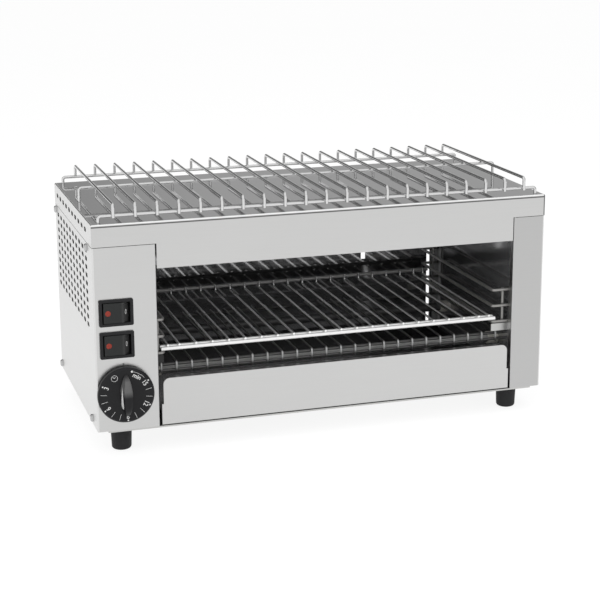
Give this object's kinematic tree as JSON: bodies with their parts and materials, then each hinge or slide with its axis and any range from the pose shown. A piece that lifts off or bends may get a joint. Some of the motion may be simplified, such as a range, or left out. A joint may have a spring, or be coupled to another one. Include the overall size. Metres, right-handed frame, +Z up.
{
  "type": "commercial sandwich toaster",
  "caption": "Countertop stainless-steel sandwich toaster: open front cavity with sliding wire rack, quartz tubes, crumb tray, timer dial, rocker switches and a wire rack on top.",
  "frame": {"origin": "centre of the overall box on the table under the four feet", "axes": "+X to the right seen from the front, -Y out of the front, +Z up"},
  "size_m": [0.4548, 0.2484, 0.241],
  "materials": {
    "stainless_steel": "satin, brushed",
    "polished_liner": "bright polished sheet",
    "chromed_wire": "bright plated",
    "galvanised_sheet": "dull",
    "black_plastic": "fine satin",
    "rocker_plastic": "semi-gloss",
    "red_lens": "gloss",
    "foot_rubber": "matt",
    "quartz_glass": "milky",
    "heater_wire": "oxidised",
    "white_ceramic": "unglazed",
    "terminal_metal": "plated",
    "timer_case": "moulded",
    "screw_steel": "bright"
  },
  "bodies": {
    "housing": {"base_pan": "galvanised_sheet", "left_casing": "stainless_steel", "right_casing": "stainless_steel", "top_cover": "stainless_steel", "rear_panel": "polished_liner", "left_cavity_wall": "polished_liner", "right_cavity_wall": "polished_liner", "cavity_ceiling": "polished_liner", "left_rack_guide": "chromed_wire", "right_rack_guide": "chromed_wire", "guard_brackets": "galvanised_sheet", "lower_guard": "chromed_wire", "upper_guard": "chromed_wire", "lower_front_tube": "quartz_glass", "lower_rear_tube": "quartz_glass", "upper_front_tube": "quartz_glass", "upper_rear_tube": "quartz_glass", "lower_heating_coils": "heater_wire", "upper_heating_coils": "heater_wire", "lower_tube_caps": "white_ceramic", "upper_tube_caps": "white_ceramic", "tube_terminals": "terminal_metal", "timer_body": "timer_case", "timer_screws": "screw_steel", "cable_gland": "black_plastic", "gland_locknut": "black_plastic", "terminal_block": "white_ceramic", "feet": "foot_rubber", "foot_screws": "screw_steel", "side_screws": "screw_steel", "rear_screws": "screw_steel", "cover_tabs": "galvanised_sheet", "base_brackets": "galvanised_sheet", "upper_rocker_housing": "black_plastic", "lower_rocker_housing": "black_plastic"},
    "timer_dial": {"timer_knob": "black_plastic", "timer_shaft": "terminal_metal"},
    "upper_switch": {"upper_rocker": "rocker_plastic", "upper_rocker_lens": "red_lens"},
    "lower_switch": {"lower_rocker": "rocker_plastic", "lower_rocker_lens": "red_lens"},
    "toast_rack": {"wire_rack": "chromed_wire"},
    "crumb_tray": {"crumb_tray_front": "stainless_steel", "crumb_tray_pan": "stainless_steel"},
    "warming_rack": {"top_rack": "chromed_wire"}
  },
  "joints": [
    {"name": "timer_turn", "type": "hinge", "parent": "housing", "child": "timer_dial", "pos_m": [-0.1985, -0.1048, 0.0615], "axis": [0, 1, 0], "range_deg": [0, 297]},
    {"name": "upper_rocker_tilt", "type": "hinge", "parent": "housing", "child": "upper_switch", "pos_m": [-0.2045, -0.1028, 0.1395], "axis": [0, 0, -1], "range_deg": [0, 16]},
    {"name": "lower_rocker_tilt", "type": "hinge", "parent": "housing", "child": "lower_switch", "pos_m": [-0.2045, -0.1028, 0.1087], "axis": [0, 0, -1], "range_deg": [0, 16]},
    {"name": "toast_rack_slide", "type": "slide", "parent": "housing", "child": "toast_rack", "axis": [0, -1, 0], "range_m": [0, 0.185]},
    {"name": "crumb_tray_slide", "type": "slide", "parent": "housing", "child": "crumb_tray", "axis": [0, -1, 0], "range_m": [0, 0.18]},
    {"name": "warming_rack_lift", "type": "slide", "parent": "housing", "child": "warming_rack", "axis": [0, 0, 1], "range_m": [0, 0.06]}
  ]
}
